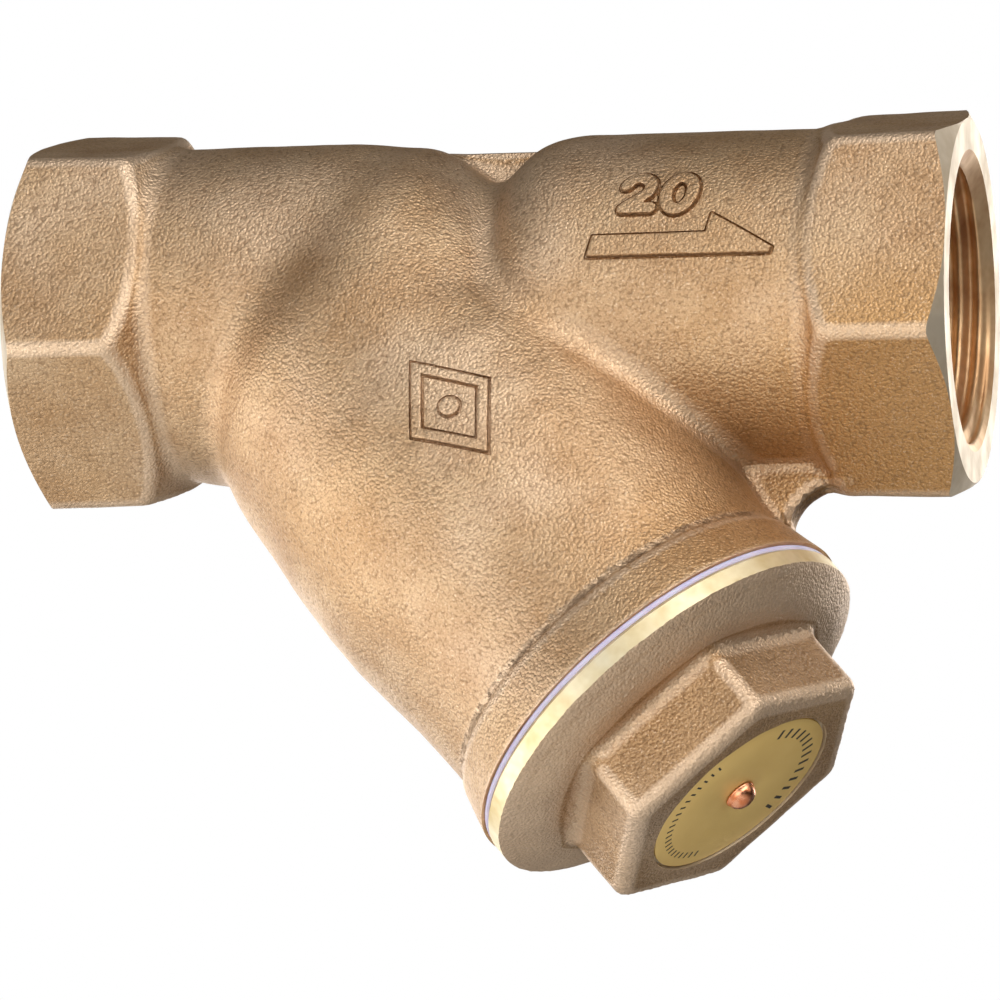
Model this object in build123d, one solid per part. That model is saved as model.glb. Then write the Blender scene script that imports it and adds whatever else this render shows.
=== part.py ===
from build123d import *
from math import cos, pi, radians, sin
import os

# Y strainer, DN20, screwed ends. Millimetres.
# Frame: X along the run from inlet to outlet, Z up, Y = 0 is the plane of symmetry.
# The origin is the centre of the inlet end face. The branch leans down towards the outlet.
# "s" is a distance along the branch axis, from where it crosses the run axis.

# --- run ---
run_length = 87.2
tube_r = 16.0
hex_flats = 33.0
hex_edge_r = 1.0
hex_length = 10.7
face_chamfer_r = 16.5
face_chamfer_length = 1.5
shoulder_length = 2.2

# --- ports, G 3/4 internal thread modelled at its crest radius ---
port_r = 12.06
port_mouth_r = 13.7
port_mouth_depth = 1.07
port_thread_end = 15.0
waterway_r = 10.0

# --- branch ---
branch_x = 27.1
branch_angle = 48.5
barrel_r = 19.4
barrel_neck_r = 18.9
barrel_end_r = 18.2
barrel_widest_s = 25.7
barrel_end_s = 45.0
dome_s = 13.0
dome_r = 18.6
bulb_widening = 1.3
bulb_top_z = 15.0
collar_s = 45.9
collar_root_r = 18.7
collar_r = 19.85
mouth_s = 50.55

# --- inside of the body ---
elbow_r = 11.5
seat_s = 8.0
pocket_depth = 3.0
chamber_r = 15.2
outlet_pocket_x = 55.0

# --- valley on top and webs ---
outlet_tube_x = 44.0
end_round = 4.0
web_thickness = 3.0
top_web_z = 15.6
top_web_depth = 9.6
top_web_end_x = 50.0
crotch_edge_x = 73.4
crotch_edge_z = -17.5
crotch_tip = (71.8, -21.0)
crotch_root = (60.0, -14.0)

# --- cap, M32 x 1.5 thread modelled plain with a running clearance ---
gasket_thickness = 0.5
gasket_inset = 0.2
gasket_bore_clearance = 0.3
thread_clearance = 0.05
spigot_length = 9.0
flange_r = 19.7
rim_width = 1.9
flange_crown_r = 17.6
flange_crown_height = 3.3
flange_middle_height = 3.9
cap_hex_flats = 24.8
cap_hex_edge_r = 1.5
cap_hex_top_r = 0.8
cap_hex_turn = 6.8
cap_face_s = 62.3
cap_core_r = 9.5
cap_core_s = 58.8
screen_seat_depth = 0.45

# --- screen ---
screen_r = 13.5
screen_sheet = 0.5
screen_gap = 0.3

# --- label and rivet ---
recess_r = 9.6
recess_depth = 0.5
label_r = 9.35
label_thickness = 0.35
rivet_head_r = 1.5
rivet_head_height = 1.3
rivet_shank_r = 1.0
rivet_clearance = 0.05
rivet_length = 2.0
rivet_end_gap = 0.1

flange_back_s = mouth_s + gasket_thickness
screen_stop_s = flange_back_s + screen_seat_depth
recess_s = cap_face_s - recess_depth
label_s = recess_s + label_thickness
rivet_end_s = recess_s - rivet_length
angle = radians(branch_angle)
run_frame = Plane(origin=(0, 0, 0), x_dir=(0, 0, 1), z_dir=(1, 0, 0))
branch_frame = Plane(
    origin=(branch_x, 0, 0),
    x_dir=(sin(angle), 0, cos(angle)),
    z_dir=(cos(angle), 0, -sin(angle)),
)


def turned(frame, outline):
    """A closed (radius, distance) outline turned about the frame's axis."""
    section = make_face(Plane.XZ * Polyline(*outline, close=True))
    return frame.location * revolve(section, Axis.Z)


def rod(frame, radius, start, end):
    """A cylinder on the frame's axis between two distances."""
    return frame.location * Pos(0, 0, (start + end) / 2) * Cylinder(radius, end - start)


def hexagon(flats, edge_r, start, end):
    """A hexagonal prism on Z with rounded edges."""
    across_corners = flats / cos(pi / 6)
    prism = Pos(0, 0, start) * extrude(RegularPolygon(across_corners / 2, 6), end - start)
    return fillet(prism.edges().filter_by(Axis.Z), edge_r)


def end_hexagon():
    """One hexagonal end at the inlet, with its turned face chamfer and cast shoulder."""
    corner_r = hex_flats / 2 / cos(pi / 6)
    shoulder_end = hex_length + shoulder_length
    limits = turned(
        run_frame,
        [
            (0, 0),
            (face_chamfer_r, 0),
            (corner_r, face_chamfer_length),
            (corner_r, hex_length),
            (tube_r, shoulder_end),
            (0, shoulder_end),
        ],
    )
    prism = run_frame.location * hexagon(hex_flats, hex_edge_r, 0, shoulder_end)
    return prism & limits


def inlet_tube():
    """The inlet half of the run, trimmed where it would stand out past the branch."""
    tube = rod(run_frame, tube_r, hex_length, outlet_tube_x)
    reach = 4 * tube_r
    far_side = branch_frame.location * Pos(reach / 2, 0, 0) * Box(reach, reach, 2 * reach)
    trim = far_side - rod(branch_frame, barrel_neck_r, -reach, reach)
    return tube - trim


def outlet_tube():
    """The outlet half of the run, with its rounded inner end."""
    tube = rod(run_frame, tube_r, outlet_tube_x, run_length - hex_length)
    inner_end = tube.edges().filter_by(GeomType.CIRCLE).sort_by(Axis.X)[0]
    return fillet(inner_end, end_round)


def branch_barrel():
    """The barrel-shaped branch with its domed back, and the collar that takes the cap."""
    back = dome_s - dome_r
    dome_middle = (dome_r * cos(pi / 4), dome_s - dome_r * sin(pi / 4))
    barrel = Plane.XZ * make_face(
        [
            Line((0, back), (0, collar_s)),
            Line((0, collar_s), (barrel_end_r, collar_s)),
            Line((barrel_end_r, collar_s), (barrel_end_r, barrel_end_s)),
            ThreePointArc(
                (barrel_end_r, barrel_end_s),
                (barrel_r, barrel_widest_s),
                (dome_r, dome_s),
            ),
            ThreePointArc((dome_r, dome_s), dome_middle, (0, back)),
        ]
    )
    collar = turned(
        branch_frame,
        [(0, collar_s), (collar_root_r, collar_s), (collar_r, mouth_s), (0, mouth_s)],
    )
    return branch_frame.location * revolve(barrel, Axis.Z) + collar


def bulb():
    """The barrel's squarer shoulders, which stand out past the run on both sides."""
    reach = 2 * tube_r
    section = Plane.YZ * Pos(0, dome_s) * Ellipse(dome_r * bulb_widening, dome_r)
    upper = extrude(section, reach)
    lower = Pos(0, 0, dome_s) * scale(Sphere(dome_r), (1, bulb_widening, 1))
    side = Pos(0, 0, (dome_s - dome_r) / 2) * Cylinder(dome_r, dome_r + dome_s)
    shape = branch_frame.location * ((upper + lower) & side)
    below_top = Pos(branch_x, 0, bulb_top_z - reach) * Box(4 * reach, 4 * reach, 2 * reach)
    return shape & below_top


def webs():
    """Thin ribs in the plane of symmetry: over the valley on top, and in the crotch below."""
    length = top_web_end_x - branch_x
    middle = Pos(branch_x + length / 2, 0, top_web_z - top_web_depth / 2)
    top = middle * Box(length, web_thickness, top_web_depth)
    crotch_outline = [
        crotch_root,
        (crotch_edge_x, crotch_root[1]),
        (crotch_edge_x, crotch_edge_z),
        crotch_tip,
    ]
    section = make_face(Plane.XZ * Polyline(*crotch_outline, close=True))
    return top + extrude(section, web_thickness / 2, both=True)


def port():
    """The cut for the inlet port: mouth chamfer, thread bore and its runout cone."""
    runout = port_thread_end + port_r - waterway_r
    return turned(
        run_frame,
        [
            (0, -1),
            (port_mouth_r + 1, -1),
            (port_mouth_r, 0),
            (port_r, port_mouth_depth),
            (port_r, port_thread_end),
            (waterway_r, runout),
            (0, runout),
        ],
    )


def waterways():
    """The inlet elbow down to the screen seat, and the outlet passage from the chamber."""
    inlet = rod(run_frame, waterway_r, port_thread_end, branch_x)
    elbow = Pos(branch_x, 0, 0) * Sphere(elbow_r)
    throat = rod(branch_frame, elbow_r, 0, seat_s)
    outlet = rod(run_frame, waterway_r, outlet_pocket_x, run_length - port_thread_end)
    outlet_end = Pos(outlet_pocket_x, 0, 0) * Sphere(waterway_r)
    return [inlet, elbow, throat, outlet, outlet_end]


def chamber():
    """The screen's pocket and the chamber around it, open at the mouth."""
    pocket_r = screen_r + screen_gap
    pocket = rod(branch_frame, pocket_r, seat_s, seat_s + pocket_depth)
    return [pocket, rod(branch_frame, chamber_r, seat_s + pocket_depth, mouth_s + 1)]


def mirrored_end(shape):
    """The same feature at the outlet end."""
    return shape.mirror(Plane(origin=(run_length / 2, 0, 0), z_dir=(1, 0, 0)))


def make_body():
    """The cast body: hexagon ends, run, branch and webs, hollowed by its ports and passages."""
    hex_end = end_hexagon()
    solid = hex_end + mirrored_end(hex_end) + inlet_tube() + outlet_tube()
    solid = solid + branch_barrel() + bulb() + webs()
    mouth_cut = port()
    for cut in [mouth_cut, mirrored_end(mouth_cut), *waterways(), *chamber()]:
        solid = solid - cut
    return solid


def make_cap():
    """The screwed cap: hollow spigot, turned flange and a hexagon with a recess for the label."""
    spigot_r = chamber_r - thread_clearance
    spigot_s = flange_back_s - spigot_length
    blank = turned(
        branch_frame,
        [
            (0, spigot_s),
            (spigot_r, spigot_s),
            (spigot_r, flange_back_s),
            (flange_r, flange_back_s),
            (flange_r, flange_back_s + rim_width),
            (flange_crown_r, flange_back_s + flange_crown_height),
            (0, flange_back_s + flange_middle_height),
        ],
    )
    prism = hexagon(cap_hex_flats, cap_hex_edge_r, flange_back_s, cap_face_s)
    top_face = prism.faces().sort_by(Axis.Z)[-1]
    prism = fillet(top_face.edges(), cap_hex_top_r)
    cap = blank + branch_frame.location * Rot(0, 0, cap_hex_turn) * prism
    cuts = [
        rod(branch_frame, screen_r + screen_gap, spigot_s - 1, screen_stop_s),
        rod(branch_frame, cap_core_r, screen_stop_s - 1, cap_core_s),
        rod(branch_frame, recess_r, recess_s, cap_face_s + 1),
        rod(branch_frame, rivet_shank_r + rivet_clearance, rivet_end_s - rivet_end_gap, cap_face_s),
    ]
    for cut in cuts:
        cap = cap - cut
    return cap


def make_gasket():
    """The flat ring between the collar and the cap's flange."""
    ring = rod(branch_frame, flange_r - gasket_inset, mouth_s, flange_back_s)
    inner_r = chamber_r + gasket_bore_clearance
    return ring - rod(branch_frame, inner_r, mouth_s - 1, flange_back_s + 1)


def make_screen():
    """The screen's sleeve, standing between the body's seat and the cap."""
    start = seat_s + screen_gap
    end = screen_stop_s - screen_gap
    sleeve = rod(branch_frame, screen_r, start, end)
    return sleeve - rod(branch_frame, screen_r - screen_sheet, start - 1, end + 1)


def make_label_plate():
    """The round plate in the cap's recess, with a hole for the rivet."""
    plate = rod(branch_frame, label_r, recess_s, label_s)
    return plate - rod(branch_frame, rivet_shank_r + rivet_clearance, recess_s - 1, label_s + 1)


def make_rivet():
    """The drive rivet: a shank in the cap and a domed head on the plate."""
    ball_r = (rivet_head_r**2 + rivet_head_height**2) / (2 * rivet_head_height)
    ball = branch_frame.location * Pos(0, 0, label_s + rivet_head_height - ball_r) * Sphere(ball_r)
    head = ball & rod(branch_frame, 2 * rivet_head_r, label_s, label_s + 2 * rivet_head_height)
    return head + rod(branch_frame, rivet_shank_r, rivet_end_s, label_s + rivet_head_height / 2)


parts = {
    "body": make_body(),
    "cap": make_cap(),
    "cap_gasket": make_gasket(),
    "screen": make_screen(),
    "label_plate": make_label_plate(),
    "label_rivet": make_rivet(),
}
os.makedirs("parts", exist_ok=True)
for name, shape in parts.items():
    export_step(shape, f"parts/{name}.step")
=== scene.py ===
from math import atan, cos, pi, radians, sin, sqrt

import bmesh
import bpy
import numpy as np
from mathutils import Matrix, Vector, noise


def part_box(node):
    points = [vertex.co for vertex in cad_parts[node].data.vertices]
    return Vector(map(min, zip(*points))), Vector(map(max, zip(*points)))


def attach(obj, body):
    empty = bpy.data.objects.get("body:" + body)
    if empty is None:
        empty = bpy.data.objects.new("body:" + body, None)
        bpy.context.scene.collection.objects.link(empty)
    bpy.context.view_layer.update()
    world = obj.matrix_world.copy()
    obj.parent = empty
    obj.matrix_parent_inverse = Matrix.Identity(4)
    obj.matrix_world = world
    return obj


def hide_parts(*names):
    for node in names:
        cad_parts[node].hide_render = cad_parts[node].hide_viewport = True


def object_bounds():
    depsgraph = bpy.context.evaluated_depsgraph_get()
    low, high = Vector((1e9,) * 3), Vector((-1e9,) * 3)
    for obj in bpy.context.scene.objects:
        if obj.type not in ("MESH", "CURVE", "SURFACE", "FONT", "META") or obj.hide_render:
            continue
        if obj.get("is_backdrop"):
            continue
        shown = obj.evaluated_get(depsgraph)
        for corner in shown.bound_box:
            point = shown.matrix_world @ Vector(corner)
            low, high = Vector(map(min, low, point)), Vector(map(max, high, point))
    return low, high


# A bronze Y strainer, DN20. Shapes are worked out in millimetres in the part's own frame: X along the
# run from the inlet face, Z up. On the branch, "s" is the distance along its axis from the run's axis,
# "u" goes across it in the plane of symmetry, and "w" goes beside it. Meshes end in metres.
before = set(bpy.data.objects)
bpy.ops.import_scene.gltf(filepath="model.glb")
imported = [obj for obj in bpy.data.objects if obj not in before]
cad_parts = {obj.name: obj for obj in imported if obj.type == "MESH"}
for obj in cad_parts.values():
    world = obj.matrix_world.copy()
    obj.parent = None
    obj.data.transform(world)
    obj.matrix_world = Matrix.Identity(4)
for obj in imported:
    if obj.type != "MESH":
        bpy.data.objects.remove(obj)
cad_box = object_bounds()
MM = 0.001

# --- dimensions shared with the CAD part ---
body_low, body_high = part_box("body")
run_length = (body_high.x - body_low.x) / MM
tube_r = 16.0
hex_flats = 33.0
hex_length = 10.7
face_chamfer_r = 16.5
face_chamfer_slope = 1.75
port_r = 12.06
port_mouth_r = 13.7
port_mouth_depth = 1.07
port_thread_end = 15.0
port_pitch = 1.814
port_thread_depth = 1.16
waterway_r = 10.0
branch_x = 27.1
branch_angle = radians(48.5)
collar_s = 45.9
collar_root_r = 18.7
collar_r = 19.8
mouth_s = 50.55
elbow_r = 11.5
seat_s = 8.0
pocket_r = 13.8
pocket_depth = 3.0
chamber_r = 15.2
cap_pitch = 1.5
cap_thread_depth = 0.8
thread_clearance = 0.08
flange_back_s = 51.05
flange_r = 19.65
spigot_s = 42.05
cap_hex_flats = 24.8
cap_hex_turn = radians(6.8)
cap_face_s = 62.3
cap_core_r = 9.5
cap_core_s = 58.8
screen_stop_s = 51.5
screen_r = 13.5
screen_sheet = 0.5
screen_start = 8.3
screen_end = 51.2
recess_r = 9.6
recess_s = 61.8
label_r = 9.35
label_s = 62.15
rivet_head_r = 1.5
rivet_head_height = 1.3
rivet_shank_r = 1.0
rivet_end_s = 59.8

# --- outside of the castings: the barrel's profile, the webs and the shoulders of the ends ---
barrel_stations = [-2, 3, 8, 13, 17, 19.6, 25.7, 30, 34, 38, 43.6, 46]
barrel_radii = [16.9, 17.9, 18.5, 18.75, 18.95, 19.2, 19.4, 19.3, 18.9, 18.45, 18.2, 18.2]
barrel_end_s = 47
bulb_back_s = 15.6
bulb_back_r = 19.0
bulb_fullness = 0.45
neck_r = 18.7
neck_flare = 4
valley_x = 44.6
ridge_z = 15.7
shoulder_r = 18.9
shoulder_slope = 1.38
casting_allowance = 2.5
web_thickness = 3.0
top_web_z = 15.62
crotch_hollow_r = 4.45
crotch_hollow_x = 76.2
crotch_hollow_z = -22.2

# --- inside of the body ---
core_draft = 0.15
outlet_pocket_x = 55.0

# --- raised marks ---
mark_height = 0.4
branch_mark_height = 0.3
mark_sink = 0.6
crease_width = 0.26
crease_depth = 0.26
digit_width = 1.12
digits_corner = (57.4, 2.6)
digit_slant = 0.12
diamond_centre = (24.0, 1.7)
diamond_size = (5.0, 3.7)
diamond_dot_r = 0.9
diamond_line = 0.9

# --- what the cutting solids clear, and the reliefs where the cap's threads end ---
clear_r = 24
clear_s = 38
relief_s = 49.4
cap_chamfer = 1.2

# --- label, screen and gasket details ---
fit_gap = 0.01
rivet_hole_r = rivet_shank_r + 0.05
gasket_inner_r = 15.5
gasket_outer_r = 19.5
screen_columns = 36
screen_rows = 18
screen_margin = 2.2
screen_hole_r = 0.65

# --- steps of the grids that the castings are meshed on ---
body_grid = 0.62
core_grid = 1.0
cap_grid = 0.5
mark_grid = 0.16

sin_a, cos_a = sin(branch_angle), cos(branch_angle)
INLET = Matrix(((0, 0, 1, 0), (0, -1, 0, 0), (1, 0, 0, 0), (0, 0, 0, 1)))
OUTLET = Matrix(((0, 0, -1, run_length), (0, 1, 0, 0), (1, 0, 0, 0), (0, 0, 0, 1)))
BRANCH = Matrix(((sin_a, 0, cos_a, branch_x), (0, -1, 0, 0), (cos_a, 0, -sin_a, 0), (0, 0, 0, 1)))


# ---------------------------------------------------------------- distance fields of the castings
def blend_min(a, b, k):
    """Joins two distance fields with a fillet about k wide."""
    mix = np.clip(0.5 + 0.5 * (b - a) / k, 0, 1)
    return b + (a - b) * mix - k * mix * (1 - mix)


def blend_max(a, b, k):
    """Cuts one distance field by another with a rounded edge about k wide."""
    return -blend_min(-a, -b, k)


def smooth_step(value, low, high):
    """Rises smoothly from 0 to 1 between two levels."""
    t = np.clip((value - low) / (high - low), 0, 1)
    return t * t * (3 - 2 * t)


def branch_coordinates(p):
    """Coordinates of points across, beside and along the branch axis."""
    x, y, z = p[..., 0] - branch_x, p[..., 1], p[..., 2]
    return x * sin_a + z * cos_a, -y, x * cos_a - z * sin_a


def hexagon_field(across, to_corner, flats, k):
    """A hexagonal prism, its edges rounded about k wide."""
    first, second, third = (
        np.abs(across * cos(t) + to_corner * sin(t)) for t in (0, pi / 3, -pi / 3)
    )
    return blend_max(blend_max(first, second, k), third, k) - flats / 2


def slab(value, low, high, k):
    """The space between two levels, with rounded edges."""
    return blend_max(low - value, value - high, k)


def barrel_field(s, r):
    """The side of the barrel-shaped branch."""
    side = r - np.interp(s, barrel_stations, barrel_radii)
    return blend_max(side, s - barrel_end_s, 0.6)


def bulb_field(p):
    """The branch with its back: domed below, and running up into the inlet tube above. Its upper side
    is a little fuller than the barrel's profile."""
    u, w, s = branch_coordinates(p)
    fuller = bulb_fullness * smooth_step(u, 3, 10) * smooth_step(s, 12, 20) * (1 - smooth_step(s, 38, 44))
    side = barrel_field(s, np.hypot(u, w) - fuller)
    height = np.where(u < 0, 0.96, 0.25) * u
    depth = np.minimum(s - bulb_back_s, 0)
    back = np.sqrt(height**2 + (0.85 * w) ** 2 + depth**2) - bulb_back_r
    return blend_max(side, back - 0.15 * np.maximum(s - bulb_back_s, 0), 2.0)


def tubes_and_barrel(p):
    """The run's two tubes flowing into the branch, with the fillets between them."""
    x, y, z = p[..., 0], p[..., 1], p[..., 2]
    u, w, _ = branch_coordinates(p)
    run_r = np.hypot(y, z)
    branch_r = np.hypot(u, w)
    inlet = run_r - tube_r + 0.15 * np.clip((20 - x) / 10, 0, 1)
    inlet = blend_max(inlet, slab(x, 5, 44, 2), 2)
    neck = branch_r - neck_r - neck_flare * (1 - smooth_step(u, -8, 1))
    inlet = blend_max(inlet, neck, 5.5)
    outlet = blend_max(run_r - tube_r, valley_x - x, 8.0)
    outlet = blend_max(outlet, x - run_length + 5, 1)
    joined = blend_min(inlet, bulb_field(p), 2.0 + 2.4 * smooth_step(z, -6, 8))
    joined = blend_max(joined, z - ridge_z, 2.5)
    valley = 2.0 + 2.6 * smooth_step(z, 2, 11)
    return blend_min(joined, outlet, valley)


def hexagon_end(p, inward):
    """A hexagonal end with its sloping cast shoulder. "inward" is the distance from the end face."""
    run_r = np.hypot(p[..., 1], p[..., 2])
    shoulder = run_r - shoulder_r - (hex_length - inward) * shoulder_slope
    shoulder = shoulder * cos(atan(shoulder_slope))
    prism = hexagon_field(p[..., 1], p[..., 2], hex_flats, 0.7) + 0.02 * inward
    prism = blend_max(prism, shoulder, 0.6)
    return blend_max(prism, slab(inward, -casting_allowance, hex_length + 6, 0.5), 0.5)


def web_fields(p):
    """The thin webs in the plane of symmetry: one over the valley, one in the crotch."""
    x, y, z = p[..., 0], p[..., 1], p[..., 2]
    sheet = np.abs(y) - web_thickness / 2
    top = blend_max(slab(z, 5, top_web_z, 1), slab(x, 30, 52, 1), 0.6)
    hollow = crotch_hollow_r - np.hypot(x - crotch_hollow_x, z - crotch_hollow_z)
    free_edge = np.maximum(hollow, x - crotch_hollow_x)
    crotch = blend_max(blend_max(free_edge, slab(z, -23, -10, 1), 0.6), 50 - x, 1)
    return blend_max(sheet, top, 0.8), blend_max(sheet, crotch, 0.6)


def body_casting(p):
    """The rough outside of the body, left long at the three machined faces."""
    u, w, s = branch_coordinates(p)
    branch_r = np.hypot(u, w)
    top_web, crotch_web = web_fields(p)
    skin = tubes_and_barrel(p)
    collar = branch_r - np.interp(s, [collar_s, mouth_s], [collar_root_r, collar_r])
    collar = blend_max(collar, slab(s, collar_s, mouth_s + 2, 0.5), 0.5)
    skin = blend_min(skin, collar, 0.5)
    skin = blend_min(skin, top_web, 1.2)
    skin = blend_min(skin, crotch_web, 0.8)
    skin = blend_min(skin, hexagon_end(p, p[..., 0]), 1.0)
    return blend_min(skin, hexagon_end(p, run_length - p[..., 0]), 1.0)


def body_core(p):
    """The cored inside of the body: inlet, elbow, throat, chamber and outlet."""
    x, y, z = p[..., 0], p[..., 1], p[..., 2]
    u, w, s = branch_coordinates(p)
    run_r, branch_r = np.hypot(y, z), np.hypot(u, w)
    inlet = blend_max(run_r - waterway_r, slab(x, 14, branch_x, 1), 1)
    elbow = np.sqrt((x - branch_x) ** 2 + y**2 + z**2) - elbow_r
    throat = blend_max(branch_r - elbow_r, slab(s, 0, seat_s + 2, 0.5), 0.5)
    chamber = blend_max(branch_r - chamber_r + core_draft, slab(s, seat_s + pocket_depth, 42, 1), 1)
    round_end = np.sqrt((x - outlet_pocket_x) ** 2 + run_r**2)
    outlet = np.where(x < outlet_pocket_x, round_end, run_r) - waterway_r
    outlet = blend_max(outlet, x - (run_length - 14), 1)
    core = blend_min(blend_min(inlet, elbow, 2), throat, 1)
    return blend_min(np.minimum(core, chamber), outlet, 1.5)


def cap_casting(p):
    """The rough cap: flange with a rounded front, hexagon and a blank for the spigot."""
    u, w, s = branch_coordinates(p)
    r = np.hypot(u, w)
    stations = [50, 52.4, 52.95, 53.3, 54.0, 54.6, 55.2]
    radii = [20.2, 20.05, 19.65, 19.1, 17.8, 16.5, 14.5]
    flange = blend_max(r - np.interp(s, stations, radii), slab(s, 49.5, 54.9, 0.8), 0.8)
    across = cos(cap_hex_turn) * w - sin(cap_hex_turn) * u
    corner = cos(cap_hex_turn) * u + sin(cap_hex_turn) * w
    head = hexagon_field(across, corner, cap_hex_flats, 0.8)
    head = blend_max(head, slab(s, 50, cap_face_s, 1), 1.3)
    spigot = blend_max(r - 17, slab(s, 40.5, 52, 1), 1)
    return np.minimum(blend_min(flange, head, 1.1), spigot)


# ---------------------------------------------------------------- mesh tools
def add_mesh(name, points, faces, finish):
    """A mesh object from points in millimetres."""
    mesh = bpy.data.meshes.new(name)
    mesh.from_pydata([tuple(q) for q in points], [], [tuple(f) for f in faces])
    mesh.update()
    item = bpy.data.objects.new(name, mesh)
    bpy.context.scene.collection.objects.link(item)
    mesh.materials.append(finish)
    return item


def settle(points, field):
    """Moves points onto the surface where the field is zero, in three short passes."""
    reach = 0.05
    least_slope = 0.2
    longest_move = 0.3
    steps = [reach * np.eye(3)[k] for k in range(3)]
    for _ in range(3):
        slope = np.stack([field(points + e) - field(points - e) for e in steps], -1) / (2 * reach)
        size = np.maximum((slope**2).sum(-1), least_slope)
        move = np.clip(field(points) / size, -longest_move, longest_move)
        points = points - move[..., None] * slope
    return points


def surface_net(field, low, high, step):
    """Points and quads of the closed surface where the field is zero: a point in each cell of a grid
    that the surface crosses, and a quad round each edge of the grid that it crosses."""
    axes = [np.arange(a, b + step, step) for a, b in zip(low, high)]
    values = field(np.stack(np.meshgrid(*axes, indexing="ij"), -1))
    inside = values < 0
    cells, crossings = [], []
    for axis in range(3):
        unit, second, third = (np.roll([1, 0, 0], axis + k) for k in range(3))
        near = np.take(inside, range(values.shape[axis] - 1), axis)
        far = np.take(inside, range(1, values.shape[axis]), axis)
        edge = np.argwhere(near != far)
        start = values[tuple(edge.T)]
        end = values[tuple((edge + unit).T)]
        share = (start / (start - end))[:, None]
        crossings.append(np.array(low) + (edge + share * unit) * step)
        ring = np.stack([edge, edge - second, edge - second - third, edge - third], 1)
        ring = np.where((start < 0)[:, None, None], ring, ring[:, ::-1])
        cells.append(np.ravel_multi_index(tuple(np.moveaxis(ring, -1, 0)), values.shape))
    _, quads = np.unique(np.concatenate(cells), return_inverse=True)
    quads = quads.reshape(-1, 4)
    weight = np.bincount(quads.ravel())
    corners = np.repeat(np.concatenate(crossings), 4, 0)
    points = [np.bincount(quads.ravel(), corners[:, k]) / weight for k in range(3)]
    return settle(np.stack(points, -1), field), quads


def ripple(points, size, height, seed):
    """Moves points a little, as a sand mould leaves a surface. The seed sets where its bumps fall,
    which would differ from run to run without it."""
    noise.seed_set(seed)
    offsets = [noise.noise_vector(Vector(q) / size) for q in points]
    return points + height * np.array(offsets)


def screw_cut(r, s, turn, thread):
    """Radii of a right-hand thread, which fades out over a turn at each end.
    thread = (start, end, pitch, minor radius, depth, np.maximum inside or np.minimum outside)."""
    start, end, pitch, minor_r, depth, picker = thread
    swing = np.cos(2 * pi * (s / pitch - turn / (2 * pi)))
    wave = np.clip(0.5 + 0.62 * swing, 0, 1)
    fade = np.clip((s - start) / pitch, 0, 1) * np.clip((end - s) / pitch, 0, 1)
    threaded = (s > start) & (s < end) & (r < minor_r + depth + 0.5)
    return np.where(threaded, picker(r, minor_r + depth * wave * fade), r)


def turned(name, outline, place, finish, thread=None, segments=96):
    """A closed solid turned about an axis from (radius, distance) points.
    The outline starts and ends on the axis, or closes on itself to make a ring."""
    rings_per_pitch = 12
    ring_shaped = outline[0][0] > 0
    outline = [np.array(q, float) for q in outline]
    path = outline + outline[:1] if ring_shaped else outline[1:-1]
    rings = [path[0]]
    for a, b in zip(path, path[1:]):
        threaded = thread and max(a[1], b[1]) > thread[0] and min(a[1], b[1]) < thread[1]
        count = max(1, round(abs(b[1] - a[1]) * rings_per_pitch / thread[2])) if threaded else 1
        rings += [a + (b - a) * (k + 1) / count for k in range(count)]
    if ring_shaped:
        rings.pop()
    rings = np.array(rings)
    turn = np.linspace(0, 2 * pi, segments, endpoint=False)
    r, s = (np.repeat(rings[:, k:k + 1], segments, 1) for k in (0, 1))
    if thread:
        r = screw_cut(r, s, turn, thread)
    points = np.stack([r * np.cos(turn), r * np.sin(turn), s], -1).reshape(-1, 3)
    count = len(rings)
    faces = []
    for i in range(count if ring_shaped else count - 1):
        low, high = i * segments, (i + 1) % count * segments
        for j in range(segments):
            k = (j + 1) % segments
            faces.append((low + j, low + k, high + k, high + j))
    if not ring_shaped:
        first, last = len(points), len(points) + 1
        top = (count - 1) * segments
        points = np.concatenate([points, [[0, 0, outline[0][1]], [0, 0, outline[-1][1]]]])
        for j in range(segments):
            k = (j + 1) % segments
            faces += [(first, k, j), (last, top + j, top + k)]
    points = points @ np.array(place.to_3x3()).T + np.array(place.translation)
    return add_mesh(name, points, faces, finish)


def combine(item, tool, operation):
    """A boolean of two closed solids, keeping each one's finish on its own faces."""
    modifier = item.modifiers.new("boolean", "BOOLEAN")
    modifier.operation = operation
    modifier.solver = "MANIFOLD"
    modifier.material_mode = "TRANSFER"
    modifier.object = tool
    graph = bpy.context.evaluated_depsgraph_get()
    result = bpy.data.meshes.new_from_object(item.evaluated_get(graph))
    item.modifiers.clear()
    item.data = result
    bpy.data.objects.remove(tool)


def soften(item, angle=25):
    """Smooth shading with crisp machined edges. Threads stay smooth along their flanks."""
    thread_angle = 75
    mesh = item.data
    mesh.polygons.foreach_set("use_smooth", [True] * len(mesh.polygons))
    threads = [m.name.startswith("thread") for m in mesh.materials]
    work = bmesh.new()
    work.from_mesh(mesh)
    for edge in work.edges:
        pair = edge.link_faces
        limit = thread_angle if all(threads[f.material_index] for f in pair) else angle
        edge.smooth = len(pair) < 2 or edge.calc_face_angle(0) < radians(limit)
    work.to_mesh(mesh)
    work.free()


def note_curvature(item, field):
    """Stores how convex the casting is at each point, for the colour of its edges and hollows: rubbed
    wear and a painted highlight on edges, a painted highlight along fillets, painted shade in tight
    creases.
    """
    points = np.empty(len(item.data.vertices) * 3)
    item.data.vertices.foreach_get("co", points)
    points = points.reshape(-1, 3)
    reach = 0.7
    around = sum(field(points + d * reach * np.eye(3)[k]) for k in range(3) for d in (-1, 1))
    bend = (around - 6 * field(points)) / reach**2
    layer = item.data.attributes.new("bend", "FLOAT", "POINT")
    layer.data.foreach_set("value", bend.astype(np.float32))


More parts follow.
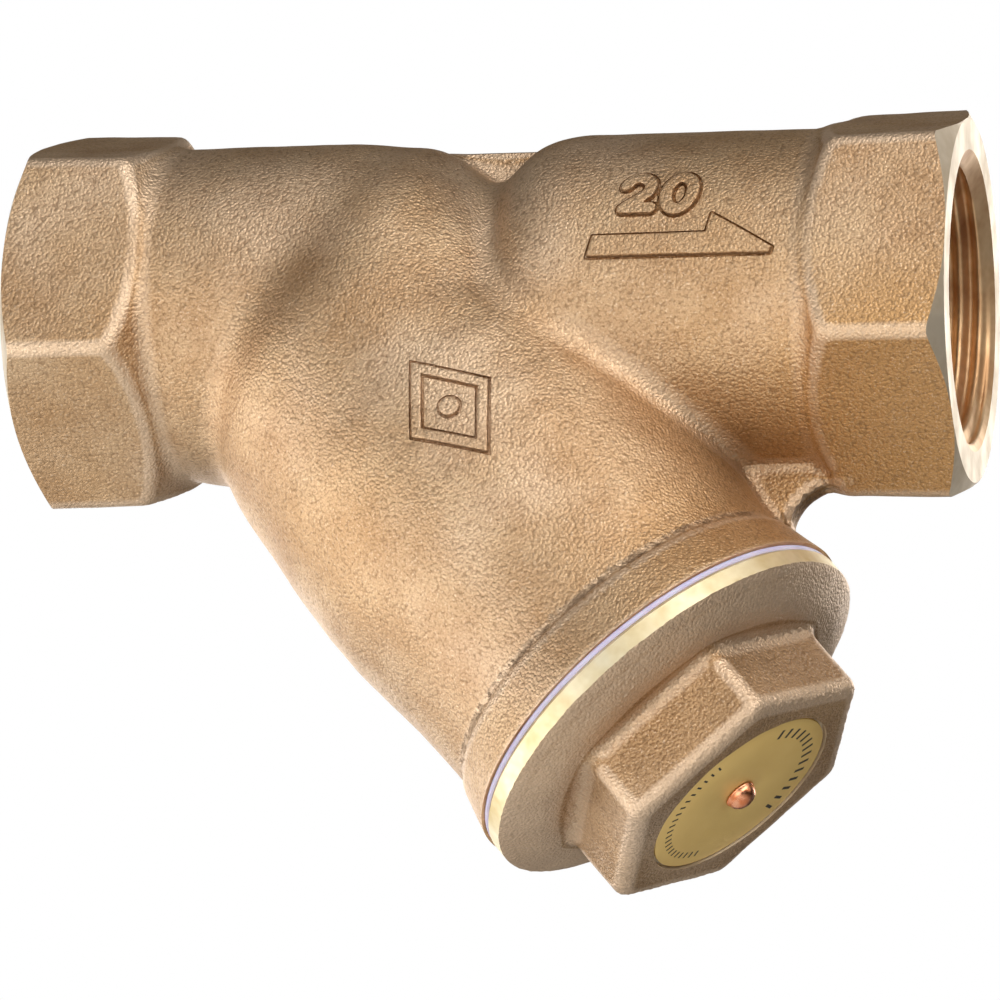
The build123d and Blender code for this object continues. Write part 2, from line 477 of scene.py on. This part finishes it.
def finish_piece(item, body, *nodes, slot):
    """Puts a finished piece into metres, on its body and in place of its CAD nodes."""
    item.data.transform(Matrix.Scale(MM, 4))
    item.data.validate()
    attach(item, body)
    if nodes:
        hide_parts(*nodes)


# ---------------------------------------------------------------- raised marks
def stroke_field(x, y, points, width):
    """A drawn line of a given width through the points."""
    best = np.full(np.shape(x), 1e3)
    for (ax, ay), (bx, by) in zip(points, points[1:]):
        dx, dy = bx - ax, by - ay
        t = np.clip(((x - ax) * dx + (y - ay) * dy) / (dx * dx + dy * dy), 0, 1)
        best = np.minimum(best, np.hypot(x - ax - t * dx, y - ay - t * dy))
    return best - width / 2


def polygon_field(x, y, corners):
    """A flat shape with straight sides."""
    best = np.full(np.shape(x), 1e3)
    inside = np.zeros(np.shape(x), bool)
    for (ax, ay), (bx, by) in zip(corners, corners[1:] + corners[:1]):
        best = np.minimum(best, stroke_field(x, y, [(ax, ay), (bx, by)], 0))
        crosses = (ay > y) != (by > y)
        with np.errstate(divide="ignore", invalid="ignore"):
            inside ^= crosses & (x < ax + (bx - ax) * (y - ay) / (by - ay if by != ay else 1e-9))
    return np.where(inside, -best, best)


def arc(centre, radii, start, end, count=10):
    """Points along part of an ellipse, angles in degrees."""
    turn = np.radians(np.linspace(start, end, count))
    return [(centre[0] + radii[0] * cos(t), centre[1] + radii[1] * sin(t)) for t in turn]


def digits_field(x, z):
    """The nominal size, 20, with its lower left corner at digits_corner."""
    v = z - digits_corner[1]
    h = x - digits_corner[0] - digit_slant * v
    two = arc((1.4, 2.75), (1.15, 1.15), 165, -35) + [(0.5, 0.55), (2.9, 0.55)]
    zero = arc((5.3, 2.1), (1.2, 1.75), 0, 360, 25)
    return np.minimum(*(stroke_field(h, v, line, digit_width) for line in (two, zero)))


def arrow_field(x, z):
    """The flow arrow: a shaft with one barb, pointing to the outlet."""
    corners = [(54.9, -1.5), (55.4, 0.45), (65.7, 0.55), (66.1, 2.45), (71.7, -1.0), (71.5, -1.5)]
    return polygon_field(x, z, corners)


def diamond_field(s, u):
    """A plain diamond outline with a dot in its middle."""
    along, across = s - diamond_centre[0], u - diamond_centre[1]
    a, b = diamond_size
    rim = (np.abs(along) / a + np.abs(across) / b - 1) * a * b / sqrt(a * a + b * b)
    dot = np.hypot(along, across) - diamond_dot_r
    return np.minimum(np.abs(rim) - diamond_line / 2, dot)


def run_height(p):
    """Height above the run's skin."""
    return np.hypot(p[..., 1], p[..., 2]) - tube_r


def branch_height(p):
    """Height above the branch's skin."""
    u, w, s = branch_coordinates(p)
    return barrel_field(s, np.hypot(u, w))


def run_plan(shape):
    """A shape drawn on the front of the run."""
    return lambda p: shape(p[..., 0], p[..., 2])


def branch_plan(p):
    """The diamond drawn on the front of the branch."""
    u, _, s = branch_coordinates(p)
    return diamond_field(s, u)


def crease_field(plan, height):
    """The crease round the foot of a mark."""
    return lambda p: blend_max(plan(p) - crease_width, slab(height(p), -crease_depth, 1.0, 0.1), 0.1)


def mark_field(plan, height, top):
    """The mark, rooted in the casting and standing up to "top" above its skin."""
    return lambda p: blend_max(plan(p), slab(height(p), -mark_sink, top, 0.12), 0.16)


def mark_solids(cast, crease_shade):
    """Each raised mark as a closed solid, and before it the crease to cut round its foot, whose faces
    take a darker copy of the bronze: painted shade in the crease.
    """
    marks = [  # plan, height over the skin, top, and the corners of a box that holds the mark
        (run_plan(digits_field), run_height, mark_height, (56.5, -17.2, 1.6), (65.6, -13.0, 7.8)),
        (run_plan(arrow_field), run_height, mark_height, (54.0, -17.2, -2.6), (72.8, -14.4, 3.6)),
        (branch_plan, branch_height, branch_mark_height, (33.0, -20.6, -27.0), (55.0, -17.0, -7.0)),
    ]
    for plan, height, top, low, high in marks:
        solids = (
            (crease_field(plan, height), crease_shade, "DIFFERENCE"),
            (mark_field(plan, height, top), cast, "UNION"),
        )
        for field, finish, operation in solids:
            points, quads = surface_net(field, low, high, mark_grid)
            yield add_mesh("mark", points, quads, finish), operation


# ---------------------------------------------------------------- body
def facing_tool(place, finish):
    """Trims a hexagon end to its face and turns the chamfer on its corners."""
    reach = 30.0
    past = 6
    far = (reach - face_chamfer_r) / face_chamfer_slope
    outline = [(0, -past), (reach, -past), (reach, far), (face_chamfer_r, 0), (0, 0)]
    return turned("tool", outline, place, finish)


def port_tool(place, finish):
    """Cuts a threaded port, with its mouth chamfer and the cone where the thread ends."""
    past = 1
    slope = (port_mouth_r - port_r) / port_mouth_depth
    end_r = 9.5
    end = port_thread_end + port_r - end_r
    outline = [
        (0, -past),
        (port_mouth_r + slope * past, -past),
        (port_r, port_mouth_depth),
        (port_r, port_thread_end),
        (end_r, end),
        (0, end),
    ]
    thread = (-0.8, port_thread_end, port_pitch, port_r, port_thread_depth, np.maximum)
    return turned("tool", outline, place, finish, thread)


def mouth_tool(finish):
    """Faces the branch and cuts the thread for the cap."""
    past = 60
    outline = [
        (0, clear_s),
        (chamber_r, clear_s),
        (chamber_r, relief_s),
        (chamber_r + cap_chamfer, mouth_s),
        (clear_r, mouth_s),
        (clear_r, past),
        (0, past),
    ]
    thread = (40.5, mouth_s + 0.6, cap_pitch, chamber_r, cap_thread_depth, np.maximum)
    return turned("tool", outline, BRANCH, finish, thread)


def pocket_tool(finish):
    """Bores the seat for the screen."""
    end = seat_s + pocket_depth + 2
    outline = [(0, seat_s), (pocket_r, seat_s), (pocket_r, end), (0, end)]
    return turned("tool", outline, BRANCH, finish)


def collar_tool(finish):
    """The shallow crease where the branch meets its collar."""
    foot_r = 17.85
    foot_s = 45.6
    start_s = 44.5
    outline = [
        (foot_r, foot_s),
        (foot_r, foot_s + 0.25),
        (clear_r, foot_s + 0.45),
        (clear_r, start_s),
        (foot_r + 0.75, start_s),
    ]
    return turned("tool", outline, BRANCH, finish)


def make_body(cast, crease_shade, cored, faced, thread):
    """The casting, its marks, its cored inside and everything cut by machine."""
    end = 4.5
    side = 21.5
    low, high = (-end, -side, -54.5), (run_length + end, side, side)
    points, quads = surface_net(body_casting, low, high, body_grid)
    points = ripple(points, size=2.4, height=0.035, seed=3)
    body = add_mesh("strainer_body", points, quads, cast)
    # The creases round the marks take a darker copy of the bronze: painted shade.
    for mark, operation in mark_solids(cast, crease_shade):
        combine(body, mark, operation)
    points, quads = surface_net(body_core, (12, -17, -45), (77, 17, 14), core_grid)
    points = ripple(points, size=3.0, height=0.08, seed=7)
    combine(body, add_mesh("core", points, quads, cored), "DIFFERENCE")
    for place in (INLET, OUTLET):
        combine(body, facing_tool(place, faced), "DIFFERENCE")
        combine(body, port_tool(place, thread), "DIFFERENCE")
    # The collar's crease takes the darker copy of the bronze too: painted shade in the crease.
    combine(body, collar_tool(crease_shade), "DIFFERENCE")
    combine(body, mouth_tool(thread), "DIFFERENCE")
    combine(body, pocket_tool(faced), "DIFFERENCE")
    note_curvature(body, body_casting)
    soften(body)
    finish_piece(body, "housing", "body", slot="cast_bronze")


# ---------------------------------------------------------------- cap
def spigot_tool(finish):
    """Turns the spigot and its thread, the flange's back face and its rim."""
    minor_r = chamber_r - thread_clearance
    major_r = minor_r + cap_thread_depth
    relief_r = minor_r - 0.2
    edge = 0.35
    past = 57
    outline = [
        (0, clear_s),
        (clear_r, clear_s),
        (clear_r, past),
        (flange_r, past),
        (flange_r, flange_back_s + edge),
        (flange_r - edge, flange_back_s),
        (relief_r, flange_back_s),
        (relief_r, relief_s + 0.6),
        (major_r, relief_s),
        (major_r, spigot_s + cap_chamfer),
        (major_r - cap_chamfer, spigot_s),
        (0, spigot_s),
    ]
    thread = (spigot_s - 1, relief_s + 1.2, cap_pitch, minor_r, cap_thread_depth, np.minimum)
    return turned("tool", outline, BRANCH, finish, thread)


def hollow_tool(finish):
    """Bores the spigot for the screen and drills the core above it."""
    start = 40
    chamfer = 1
    outline = [
        (0, start),
        (pocket_r, start),
        (pocket_r, screen_stop_s),
        (cap_core_r, screen_stop_s),
        (cap_core_r, cap_core_s - chamfer),
        (cap_core_r - chamfer, cap_core_s),
        (0, cap_core_s),
    ]
    return turned("tool", outline, BRANCH, finish)


def recess_tool(finish):
    """Sinks the seat for the label and the hole for its rivet."""
    hole_end = rivet_end_s - 0.1
    past = 65
    outline = [
        (0, hole_end),
        (rivet_hole_r, hole_end),
        (rivet_hole_r, recess_s),
        (recess_r, recess_s),
        (recess_r, past),
        (0, past),
    ]
    return turned("tool", outline, BRANCH, finish)


def make_cap(cast, rim, faced):
    """The screwed cap: cast flange and hexagon, turned rim and threaded spigot."""
    side = 22.5
    points, quads = surface_net(cap_casting, (30, -side, -65), (90, side, -10), cap_grid)
    points = ripple(points, size=2.2, height=0.05, seed=11)
    cap = add_mesh("screwed_cap", points, quads, cast)
    combine(cap, spigot_tool(rim), "DIFFERENCE")
    combine(cap, hollow_tool(faced), "DIFFERENCE")
    combine(cap, recess_tool(faced), "DIFFERENCE")
    note_curvature(cap, cap_casting)
    soften(cap)
    finish_piece(cap, "cap_group", "cap", slot="cap_bronze")


# ---------------------------------------------------------------- small pieces
def make_gasket(finish):
    """The flat ring squeezed between the collar and the flange."""
    edge = 0.12
    low, high = mouth_s + fit_gap, flange_back_s - fit_gap
    outline = [
        (gasket_inner_r, low),
        (gasket_outer_r - edge, low),
        (gasket_outer_r, low + edge),
        (gasket_outer_r, high - edge),
        (gasket_outer_r - edge, high),
        (gasket_inner_r, high),
    ]
    ring = turned("gasket_ring", outline, BRANCH, finish, segments=144)
    soften(ring, 40)
    finish_piece(ring, "screen_group", "cap_gasket", slot="ptfe")


def make_label(finish):
    """The round label plate, with a rounded rim. Its middle dips a little under the rivet's head."""
    edge = 0.1
    back = recess_s + fit_gap
    outline = [
        (rivet_hole_r, back),
        (label_r - edge, back),
        (label_r, recess_s + edge),
        (label_r, label_s - edge),
        (label_r - 0.03, label_s - 0.03),
        (label_r - edge, label_s),
        (rivet_head_r + 0.25, label_s),
        (rivet_head_r + 0.05, label_s - 0.04),
        (rivet_hole_r, label_s - 0.06),
    ]
    plate = turned("label_disc", outline, BRANCH, finish, segments=144)
    soften(plate, 30)
    finish_piece(plate, "cap_group", "label_plate", slot="label_brass")


def tick(radius, turn, length, width):
    """The eight corners of a thin printed bar standing along a radius."""
    along = Vector((cos(turn), sin(turn), 0))
    beside = Vector((-sin(turn), cos(turn), 0))
    corners = []
    for level in (label_s - fit_gap, label_s + 0.015):
        for a, b in ((-1, -1), (1, -1), (1, 1), (-1, 1)):
            spot = along * (radius + a * length / 2) + beside * b * width / 2
            corners.append(BRANCH @ (spot + Vector((0, 0, level))))
    return corners


def make_print(finish):
    """Plain tick marks printed on the label, in place of lettering: coarse on one side and fine on
    the other. Each is (radius, turn, length, width)."""
    points, faces = [], []
    coarse = [(7.6, radians(-78 + 9 * k), 1.15, 0.34) for k in range(14)]
    fine = [(7.9, radians(92 + 6 * k), 0.7, 0.2) for k in range(22)]
    sides = [(k, (k + 1) % 4, 4 + (k + 1) % 4, 4 + k) for k in range(4)]
    for radius, turn, length, width in coarse + fine:
        base = len(points)
        points += tick(radius, turn, length, width)
        faces += [tuple(base + i for i in f) for f in [(3, 2, 1, 0), (4, 5, 6, 7), *sides]]
    ink = add_mesh("label_ticks", points, faces, finish)
    finish_piece(ink, "cap_group", slot="label_brass")


def make_rivet(finish):
    """The drive rivet, with a domed head on a thin skirt."""
    top = label_s + rivet_head_height
    skirt = label_s + 0.22
    dome_r = rivet_head_r - 0.1
    dome = [(dome_r * cos(t), skirt + (top - skirt) * sin(t)) for t in np.linspace(0.12, 1.45, 14)]
    outline = [
        (0, rivet_end_s),
        (rivet_shank_r - 0.2, rivet_end_s),
        (rivet_shank_r, rivet_end_s + 0.3),
        (rivet_shank_r, label_s),
        (rivet_head_r - 0.05, label_s),
        (rivet_head_r, label_s + 0.06),
        (rivet_head_r, label_s + 0.14),
        (rivet_head_r - 0.05, skirt),
        *dome,
        (0, top),
    ]
    rivet = turned("drive_rivet", outline, BRANCH, finish, segments=64)
    soften(rivet, 50)
    finish_piece(rivet, "cap_group", "label_rivet", slot="copper")


def screen_tile(column, row, pitch, height):
    """Border and hole points of one tile, in quarter pitches round and millimetres along. Every
    second row is shifted by half a pitch."""
    below = [(k, 0) for k in range(4)]
    above = [(4 - k, 2) for k in range(4)]
    border = [*below, (4, 0), (4, 1), *above, (0, 2), (0, 1)]
    shift = 4 * column + 2 * (row % 2)
    start = screen_start + screen_margin + row * height
    edge = [(shift + a, start + b * height / 2) for a, b in border]
    centre = (shift + 2, start + height / 2)
    hole = []
    for a, b in edge:
        around = Vector(((a - centre[0]) * pitch / 4, b - centre[1])).normalized() * screen_hole_r
        hole.append((centre[0] + around.x / (pitch / 4), centre[1] + around.y))
    return edge, hole


def make_screen(finish):
    """The perforated sleeve, with plain margins and a plain strip down its seam."""
    steps = 4 * screen_columns
    pitch = 2 * pi * screen_r / screen_columns
    height = (screen_end - screen_start - 2 * screen_margin) / screen_rows
    index, points, faces = {}, [], []

    def point(spot):
        key = (round(spot[0] % steps, 4), round(spot[1], 4))
        if key not in index:
            turn = 2 * pi * key[0] / steps
            index[key] = len(points)
            points.append(BRANCH @ Vector((screen_r * cos(turn), screen_r * sin(turn), key[1])))
        return index[key]

    for row in range(screen_rows):
        for column in range(screen_columns):
            edge, hole = screen_tile(column, row, pitch, height)
            if column == 0:
                faces.append([point(q) for q in edge])
                continue
            for k in range(len(edge)):
                m = (k + 1) % len(edge)
                faces.append([point(q) for q in (edge[k], edge[m], hole[m], hole[k])])
    low = screen_start + screen_margin
    high = screen_end - screen_margin
    for k in range(steps):
        for a, b in ((screen_start, low), (high, screen_end)):
            faces.append([point(q) for q in ((k, a), (k + 1, a), (k + 1, b), (k, b))])
    sleeve = add_mesh("strainer_screen", points, faces, finish)
    wall = sleeve.modifiers.new("wall", "SOLIDIFY")
    wall.thickness = screen_sheet
    wall.offset = -1
    graph = bpy.context.evaluated_depsgraph_get()
    mesh = bpy.data.meshes.new_from_object(sleeve.evaluated_get(graph))
    sleeve.modifiers.clear()
    sleeve.data = mesh
    soften(sleeve, 30)
    finish_piece(sleeve, "screen_group", "screen", slot="stainless_mesh")


# ---------------------------------------------------------------- materials
def tone(red, green, blue):
    """A colour given as it looks on a screen, 0 to 255."""
    linear = [((c / 255 + 0.055) / 1.055) ** 2.4 for c in (red, green, blue)]
    return (*linear, 1)


def shader(name, **values):
    """A material with plain values on its Principled shader. Underscores stand for spaces."""
    finish = bpy.data.materials.new(name)
    finish.use_nodes = True
    principled = finish.node_tree.nodes["Principled BSDF"]
    for key, value in values.items():
        principled.inputs[key.replace("_", " ")].default_value = value
    return finish


def node(finish, kind, inputs=(), **settings):
    """A shader node; an input is a value, or the output it is linked from."""
    made = finish.node_tree.nodes.new("ShaderNode" + kind)
    for key, value in settings.items():
        setattr(made, key, value)
    for key, value in dict(inputs).items():
        if isinstance(value, bpy.types.NodeSocket):
            finish.node_tree.links.new(value, made.inputs[key])
        else:
            made.inputs[key].default_value = value
    return made


def wear_on(finish, **links):
    """Links outputs to the material's Principled shader. Underscores stand for spaces."""
    principled = finish.node_tree.nodes["Principled BSDF"]
    for key, value in links.items():
        finish.node_tree.links.new(value, principled.inputs[key.replace("_", " ")])


def grain(finish, place, size, detail=2.0, roughness=0.55):
    """Noise with features about "size" millimetres across, from 0 to 1."""
    inputs = {"Vector": place, "Scale": 1 / (size * MM), "Detail": detail, "Roughness": roughness}
    return node(finish, "TexNoise", inputs).outputs["Fac"]


def spread(finish, value, low, high, to_low=0.0, to_high=1.0):
    """Maps a stretch of values to another, and holds it at the ends."""
    inputs = {"Value": value, "From Min": low, "From Max": high, "To Min": to_low, "To Max": to_high}
    return node(finish, "MapRange", inputs).outputs["Result"]


def mixed(finish, share, first, second):
    """Two colours mixed, with a share of the second one. A colour Mix node has its factor at input 0,
    its colours at 6 and 7, and its result at output 2."""
    inputs = {0: share, 6: first, 7: second}
    return node(finish, "Mix", inputs, data_type="RGBA").outputs[2]


def bumped(finish, height, depth, normal=None):
    """A bump of a given depth in millimetres, over another bump if one is given."""
    inputs = {"Height": height, "Distance": depth * MM}
    if normal:
        inputs["Normal"] = normal
    return node(finish, "Bump", inputs).outputs["Normal"]


def object_place(finish, turn=0.0):
    """Object coordinates. A turn of branch_angle lays the branch's axis along X."""
    place = node(finish, "TexCoord").outputs["Object"]
    if not turn:
        return place
    shift = (-branch_x * MM * cos(turn), 0, branch_x * MM * sin(turn))
    inputs = {"Vector": place, "Rotation": (0, -turn, 0), "Location": shift}
    return node(finish, "Mapping", inputs).outputs["Vector"]


def cast_bronze(name, base, dark, bright, gold, pit_and_shade, painted_bounce_share=0.0):
    """Sand-cast bronze: a grainy skin with painted glints and painted shade in its grain, lighter on its
    edges by rubbed wear and a painted highlight, with a painted highlight along its fillets, painted
    shade in its tight corners, and a painted warm bounce light tinting the underside of the outlet end
    gold, as strong as the last argument says."""
    finish = shader(name, Metallic=0.92, IOR=1.5)
    grain_size = 0.31
    place = object_place(finish)
    fine = grain(finish, place, 0.2, 2.0, 0.6)
    coarse = grain(finish, place, 1.1)
    cells = {"Vector": place, "Scale": 1 / (grain_size * MM)}
    grains = node(finish, "TexVoronoi", cells, feature="F1").outputs["Distance"]
    blotch = grain(finish, place, 7.0, 3.0, 0.6)
    patch = grain(finish, place, 18.0)
    bend = node(finish, "Attribute", attribute_name="bend").outputs["Fac"]
    spot = node(finish, "SeparateXYZ", {"Vector": place}).outputs
    # Painted warm bounce light: a gold tint on the underside of the outlet end, standing in for light
    # thrown up from below.
    outlet_end = spread(finish, spot["X"], 60 * MM, 78 * MM)
    underside = spread(finish, spot["Z"], 0, -9 * MM)
    painted_bounce = node(finish, "Math", {0: outlet_end, 1: underside}, operation="MULTIPLY").outputs[0]
    colour = mixed(finish, spread(finish, blotch, 0.32, 0.66), dark, base)
    layers = [  # what drives the layer, where it starts, where it is full, its full share, its colour
        (patch, 0.5, 0.66, 0.35, bright),
        (patch, 0.46, 0.34, 0.18, gold),
        # painted warm bounce light on the underside of the outlet end
        (painted_bounce, 0, 1, painted_bounce_share, gold),
        # grain colour, with painted glints on the crests of the grain and painted shade in its pits
        (fine, 0.58, 0.72, 0.55, bright),
        (fine, 0.42, 0.28, 0.5, pit_and_shade),
        (grains, 0.55, 0.85, 0.5, pit_and_shade),
        # convex edges lighter: rubbed wear and a painted highlight along the edges
        (bend, 0.16, 0.5, 0.5, bright),
        # painted highlight along the fillets in the hollows
        (bend, -0.12, -0.5, 0.35, bright),
        # painted shade in the tightest creases
        (bend, -0.9, -1.6, 0.7, pit_and_shade),
    ]
    for driver, start, full, share, tint in layers:
        colour = mixed(finish, spread(finish, driver, start, full, 0, share), colour, tint)
    normal = bumped(finish, coarse, 0.035)
    normal = bumped(finish, spread(finish, grains, 0, 0.9, 1, 0), 0.065, normal)
    normal = bumped(finish, fine, 0.075, normal)
    rough = spread(finish, fine, 0.3, 0.7, 0.58, 0.42)
    wear_on(finish, Base_Color=colour, Roughness=rough, Normal=normal)
    return finish


def turned_metal(name, light, dark, roughness, turn=0.0):
    """Machined bronze: fine rings about the axis that it was turned on, with a little tarnish. A Wave
    node's rings are 2 pi / 20 apart at a scale of 1."""
    finish = shader(name, Metallic=0.95)
    ring_pitch = 1.3823
    ring_depth = 0.006
    place = object_place(finish, turn)
    scale = 2 * pi / 20 / (ring_pitch * MM)
    inputs = {"Vector": place, "Scale": scale, "Distortion": 0.15, "Detail": 2.0}
    rings = node(finish, "TexWave", inputs, wave_type="RINGS", rings_direction="X")
    stain = grain(finish, place, 4.0, 3.0, 0.6)
    speck = grain(finish, place, 0.5)
    colour = mixed(finish, spread(finish, stain, 0.35, 0.65), dark, light)
    rough = spread(finish, stain, 0.3, 0.7, roughness + 0.12, roughness)
    normal = bumped(finish, rings.outputs["Fac"], ring_depth)
    normal = bumped(finish, speck, 0.01, normal)
    wear_on(finish, Base_Color=colour, Roughness=rough, Normal=normal)
    return finish


def gasket_ptfe():
    """White PTFE with a faint lilac cast."""
    finish = shader("gasket_ptfe", Subsurface_Weight=0.15, Subsurface_Scale=0.3 * MM, IOR=1.35)
    place = object_place(finish)
    cloud = grain(finish, place, 2.5, 3.0)
    colour = mixed(finish, cloud, tone(176, 168, 200), tone(208, 204, 222))
    rough = spread(finish, cloud, 0.3, 0.7, 0.55, 0.4)
    normal = bumped(finish, grain(finish, place, 0.25), 0.01)
    wear_on(finish, Base_Color=colour, Roughness=rough, Normal=normal)
    return finish


def label_brass():
    """Satin gold label plate, finely brushed."""
    finish = shader("label_gold", Metallic=0.45)
    place = object_place(finish)
    stretched = node(finish, "Mapping", {"Vector": place, "Scale": (1, 12, 1)}).outputs["Vector"]
    brush = grain(finish, stretched, 0.6, 3.0)
    cloud = grain(finish, place, 5.0)
    colour = mixed(finish, cloud, tone(222, 184, 106), tone(234, 200, 124))
    rough = spread(finish, brush, 0.3, 0.7, 0.5, 0.38)
    normal = bumped(finish, brush, 0.006)
    wear_on(finish, Base_Color=colour, Roughness=rough, Normal=normal)
    return finish


def printed_ink():
    """Black print, a little worn."""
    finish = shader("printed_ink", IOR=1.45)
    place = object_place(finish)
    worn = grain(finish, place, 0.4, 3.0)
    colour = mixed(finish, spread(finish, worn, 0.55, 0.75), tone(38, 34, 28), tone(92, 78, 52))
    rough = spread(finish, worn, 0.3, 0.7, 0.5, 0.7)
    wear_on(finish, Base_Color=colour, Roughness=rough, Normal=bumped(finish, worn, 0.005))
    return finish


def rivet_copper():
    """Bright copper, with pinkish oxide."""
    finish = shader("rivet_copper", Metallic=1.0)
    place = object_place(finish)
    cloud = grain(finish, place, 0.8, 3.0)
    colour = mixed(finish, spread(finish, cloud, 0.35, 0.65), tone(214, 128, 84), tone(238, 170, 132))
    rough = spread(finish, cloud, 0.3, 0.7, 0.2, 0.32)
    normal = bumped(finish, grain(finish, place, 0.3), 0.008)
    wear_on(finish, Base_Color=colour, Roughness=rough, Normal=normal)
    return finish


def screen_steel():
    """Stainless sheet, lightly brushed along the sleeve."""
    finish = shader("screen_steel", Metallic=1.0)
    place = object_place(finish)
    brush = grain(finish, place, 0.3, 3.0)
    colour = mixed(finish, grain(finish, place, 6.0), tone(176, 176, 174), tone(206, 206, 204))
    rough = spread(finish, brush, 0.3, 0.7, 0.38, 0.28)
    normal = bumped(finish, brush, 0.006)
    wear_on(finish, Base_Color=colour, Roughness=rough, Normal=normal)
    return finish


# ---------------------------------------------------------------- studio
def directions(azimuth, elevation, roll):
    """Right, up and back of something looking at the object from an azimuth and elevation."""
    a, e, t = radians(azimuth), radians(elevation), radians(roll)
    back = Vector((sin(a) * cos(e), -cos(a) * cos(e), sin(e)))
    right = Vector((cos(a), sin(a), 0))
    up = back.cross(right)
    return cos(t) * right + sin(t) * up, cos(t) * up - sin(t) * right, back


def aim(item, target, distance, azimuth, elevation, roll=0.0):
    """Places a camera or lamp at a distance, looking at the target."""
    right, up, back = directions(azimuth, elevation, roll)
    place = Matrix((right, up, back)).transposed().to_4x4()
    place.translation = Vector(target) + back * distance
    item.matrix_world = place
    bpy.context.scene.collection.objects.link(item)


view_azimuth = 14.86
view_elevation = -19.54
view_roll = 4.29
view_distance = 0.4732
view_lens = 186.46
view_target = Vector((44.42, 0, -18.60)) * MM
lamp_distance = 0.6
lamps = {  # azimuth and elevation measured from the camera's, size in metres, power in watts
    "high_right": (35, 50, 0.36, 1.75),
    "front": (12, 35, 0.36, 1.3),
    "high_left": (-25, 65, 0.36, 0.7),
    "right": (65, 38, 0.36, 0.35),
    "left_near": (-12, 2, 0.34, 0.85),
    "left_low": (-52, -12, 0.34, 1.65),
    "left": (-90, 12, 0.36, 1.45),
    "left_far": (-120, 0, 0.36, 1.0),
    "back_left": (-160, 30, 0.36, 1.2),
    "back_right": (140, 45, 0.36, 1.55),
}
floor_z = -360.0
floor_reach = 4000.0
surround_light = 0.05


def make_camera():
    """The camera, in front of the object, a little to its right and below it."""
    data = bpy.data.cameras.new("camera")
    data.lens = view_lens
    data.clip_start = 0.01
    data.clip_end = 20
    camera = bpy.data.objects.new("camera", data)
    aim(camera, view_target, view_distance, view_azimuth, view_elevation, view_roll)
    bpy.context.scene.camera = camera


def softbox(name, azimuth, elevation, size, power):
    """A square area lamp."""
    data = bpy.data.lights.new(name, "AREA")
    data.shape = "SQUARE"
    data.size = size
    data.energy = power
    lamp = bpy.data.objects.new(name, data)
    aim(lamp, view_target, lamp_distance, view_azimuth + azimuth, view_elevation + elevation)


def stage_plane(name, level, finish):
    """A wide level plane below the object."""
    signs = ((-1, -1), (1, -1), (1, 1), (-1, 1))
    corners = [(a * floor_reach, b * floor_reach, level) for a, b in signs]
    plane = add_mesh(name, corners, [(0, 1, 2, 3)], finish)
    plane.data.transform(Matrix.Scale(MM, 4))
    plane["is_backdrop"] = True
    return plane


def make_surround():
    """A white backdrop for the camera, which lights the object only faintly."""
    world = bpy.data.worlds.new("surround")
    world.use_nodes = True
    bpy.context.scene.world = world
    backdrop = world.node_tree.nodes["Background"]
    backdrop.inputs["Color"].default_value = (1, 1, 1, 1)
    path = world.node_tree.nodes.new("ShaderNodeLightPath")
    level = world.node_tree.nodes.new("ShaderNodeMapRange")
    level.inputs["To Min"].default_value = surround_light
    level.inputs["To Max"].default_value = 1.0
    world.node_tree.links.new(path.outputs["Is Camera Ray"], level.inputs["Value"])
    world.node_tree.links.new(level.outputs["Result"], backdrop.inputs["Strength"])


def make_floor():
    """A pale floor well below the object. The camera sees a lit copy of it, which lights nothing."""
    pale = (0.86, 0.86, 0.85, 1)
    paint = shader("floor_paint", Roughness=0.9, Base_Color=pale)
    glow = {"Emission_Color": pale, "Emission_Strength": 0.8}
    lit_paint = shader("floor_lit", Roughness=0.9, Base_Color=pale, **glow)
    bounce = stage_plane("studio_bounce", floor_z, paint)
    bounce.visible_camera = False
    floor = stage_plane("studio_floor", floor_z - 1, lit_paint)
    floor.visible_diffuse = False
    floor.visible_glossy = False


def make_studio():
    """Soft boxes, the surround and the floor."""
    for name, settings in lamps.items():
        softbox(name, *settings)
    make_surround()
    make_floor()
    bpy.context.scene.view_settings.view_transform = "Standard"


# ---------------------------------------------------------------- the whole object
skin_tones = dict(
    base=tone(198, 167, 131),
    dark=tone(178, 143, 106),
    # pale tone for varied patches and rubbed edges, and for painted highlights and glints
    bright=tone(226, 201, 174),
    gold=tone(190, 146, 92),
    # painted shade in creases and grain pits, partly the grain's own darker colour
    pit_and_shade=tone(126, 96, 66),
)
cap_tones = {**skin_tones, "base": tone(178, 145, 108), "dark": tone(152, 120, 86)}
# A darker copy of the skin for the creases round the marks and at the collar: painted shade.
crease_shade_tones = {**skin_tones, "base": tone(158, 122, 84), "dark": tone(136, 100, 66)}
core_tones = {**skin_tones, "base": tone(196, 150, 92)}
# The body's skin also takes the painted warm bounce light on the underside of its outlet end.
body_skin = cast_bronze("cast_bronze_body", painted_bounce_share=0.85, **skin_tones)
cap_skin = cast_bronze("cast_bronze_cap", **cap_tones)
# painted shade for the creases
crease_shade_skin = cast_bronze("cast_bronze_crease_shade", **crease_shade_tones)
core_skin = cast_bronze("cast_bronze_core", **core_tones)
faced_metal = turned_metal("faced_bronze", tone(214, 198, 174), tone(196, 178, 152), 0.5)
port_metal = turned_metal("thread_bronze", tone(226, 190, 146), tone(192, 150, 108), 0.46)
rim_metal = turned_metal("rim_bronze", tone(240, 228, 196), tone(214, 194, 148), 0.48, branch_angle)

make_body(body_skin, crease_shade_skin, core_skin, faced_metal, port_metal)
make_cap(cap_skin, rim_metal, faced_metal)
make_gasket(gasket_ptfe())
make_screen(screen_steel())
make_label(label_brass())
make_print(printed_ink())
make_rivet(rivet_copper())
make_camera()
make_studio()

sizes = {"cad": cad_box, "visual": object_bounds()}
{key: [list(corner) for corner in box] for key, box in sizes.items()}
